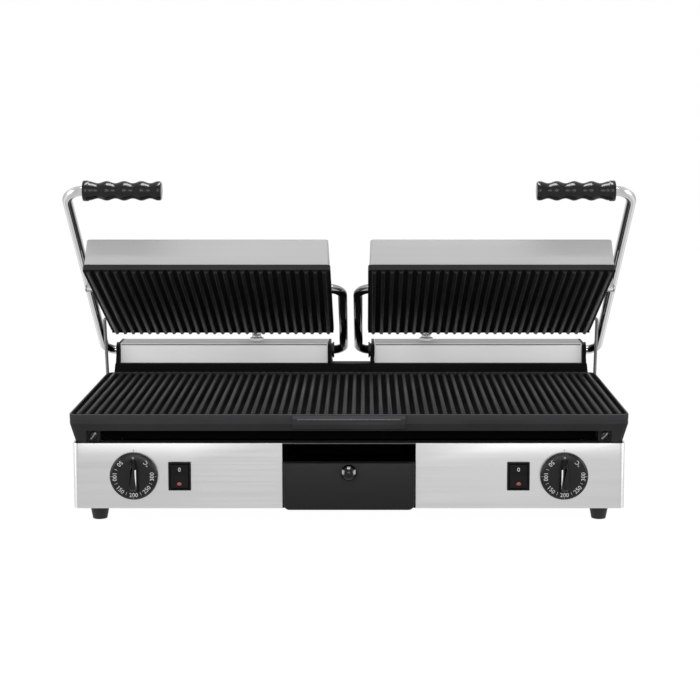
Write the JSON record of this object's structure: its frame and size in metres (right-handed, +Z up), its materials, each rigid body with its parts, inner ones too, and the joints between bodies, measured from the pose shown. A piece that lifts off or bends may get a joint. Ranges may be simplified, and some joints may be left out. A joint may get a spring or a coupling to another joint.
{
  "type": "contact grill",
  "caption": "Countertop contact grill: long ribbed lower plate on a stainless base, ribbed lids on sprung round-bar frames, grease drawer, dials and rocker switches.",
  "frame": {"origin": "on the surface that the feet stand on, under the middle of the overall box", "axes": "+X to the right seen from the front, +Y to the back, +Z up; the dials face -Y"},
  "size_m": [0.6066, 0.3872, 0.357],
  "materials": {
    "stainless": "brushed stainless sheet",
    "zinc_steel": "zinc-plated steel, dull",
    "chrome_bar": "bright chromed round bar",
    "cast_plate": "black enamelled cast iron, satin",
    "black_steel": "black painted sheet, satin",
    "black_plastic": "black moulded plastic",
    "rubber": "black rubber",
    "brass": "plain brass"
  },
  "bodies": {
    "base": {"base_shell": "stainless", "base_floor": "zinc_steel", "rear_panel": "stainless", "front_left_foot": "rubber", "front_right_foot": "rubber", "rear_left_foot": "rubber", "rear_right_foot": "rubber", "lower_plate": "cast_plate", "heat_shield": "black_steel", "drawer_guide": "black_steel", "terminal_block": "black_plastic", "cable_gland": "black_plastic", "hinge_rail": "black_steel", "left_plate_screw": "zinc_steel", "left_lower_heater": "zinc_steel", "left_thermostat": "zinc_steel", "left_switch_housing": "black_plastic", "left_hinge_cover": "stainless", "left_torsion_spring": "zinc_steel", "left_outer_bush": "brass", "left_inner_bush": "brass", "left_conduit": "stainless", "left_side_lead": "zinc_steel", "left_lead_grommet": "rubber", "right_plate_screw": "zinc_steel", "right_lower_heater": "zinc_steel", "right_thermostat": "zinc_steel", "right_switch_housing": "black_plastic", "right_hinge_cover": "stainless", "right_torsion_spring": "zinc_steel", "right_outer_bush": "brass", "right_inner_bush": "brass", "right_conduit": "stainless", "right_side_lead": "zinc_steel", "right_lead_grommet": "rubber"},
    "drawer": {"drawer_tray": "black_steel", "drawer_knob": "black_plastic", "drawer_knob_screw": "zinc_steel"},
    "left_dial": {"left_dial_knob": "black_plastic"},
    "left_switch_rocker": {"left_rocker": "black_plastic"},
    "left_frame": {"left_outer_arm": "chrome_bar", "left_inner_arm": "chrome_bar", "left_hinge_shaft": "zinc_steel", "left_grip": "black_plastic", "left_pivot_bolt": "zinc_steel"},
    "left_lid": {"left_lid_plate": "cast_plate", "left_lid_cover": "stainless", "left_lid_heater": "zinc_steel"},
    "right_dial": {"right_dial_knob": "black_plastic"},
    "right_switch_rocker": {"right_rocker": "black_plastic"},
    "right_frame": {"right_outer_arm": "chrome_bar", "right_inner_arm": "chrome_bar", "right_hinge_shaft": "zinc_steel", "right_grip": "black_plastic", "right_pivot_bolt": "zinc_steel"},
    "right_lid": {"right_lid_plate": "cast_plate", "right_lid_cover": "stainless", "right_lid_heater": "zinc_steel"}
  },
  "joints": [
    {"name": "drawer_slide", "type": "slide", "parent": "base", "child": "drawer", "axis": [0, -1, 0], "range_m": [0, 0.2]},
    {"name": "left_arm_hinge", "type": "hinge", "parent": "base", "child": "left_frame", "pos_m": [0, 0.12855, 0.1394], "axis": [1, 0, 0], "range_deg": [-12, 32.19], "deforming": ["left_conduit", "left_side_lead"]},
    {"name": "left_lid_tilt", "type": "hinge", "parent": "left_frame", "child": "left_lid", "pos_m": [0, -0.01958, 0.23182], "axis": [1, 0, 0], "range_deg": [-6.6, 2.6]},
    {"name": "left_dial_turn", "type": "hinge", "parent": "base", "child": "left_dial", "pos_m": [-0.2238, -0.16845, 0.0527], "axis": [0, 1, 0], "range_deg": [0, 270]},
    {"name": "left_switch_rock", "type": "hinge", "parent": "base", "child": "left_switch_rocker", "pos_m": [-0.1763, -0.16345, 0.0521], "axis": [1, 0, 0], "range_deg": [0, 15]},
    {"name": "right_arm_hinge", "type": "hinge", "parent": "base", "child": "right_frame", "pos_m": [0, 0.12855, 0.1394], "axis": [1, 0, 0], "range_deg": [-12, 32.19], "deforming": ["right_conduit", "right_side_lead"]},
    {"name": "right_lid_tilt", "type": "hinge", "parent": "right_frame", "child": "right_lid", "pos_m": [0, -0.01958, 0.23182], "axis": [1, 0, 0], "range_deg": [-6.6, 2.6]},
    {"name": "right_dial_turn", "type": "hinge", "parent": "base", "child": "right_dial", "pos_m": [0.2238, -0.16845, 0.0527], "axis": [0, 1, 0], "range_deg": [0, 270]},
    {"name": "right_switch_rock", "type": "hinge", "parent": "base", "child": "right_switch_rocker", "pos_m": [0.1763, -0.16345, 0.0521], "axis": [1, 0, 0], "range_deg": [0, 15]}
  ],
  "couplings": [
    {"joint": "left_lid_tilt", "follows": "left_arm_hinge", "ratio": -0.20161},
    {"joint": "right_lid_tilt", "follows": "right_arm_hinge", "ratio": -0.20161}
  ]
}
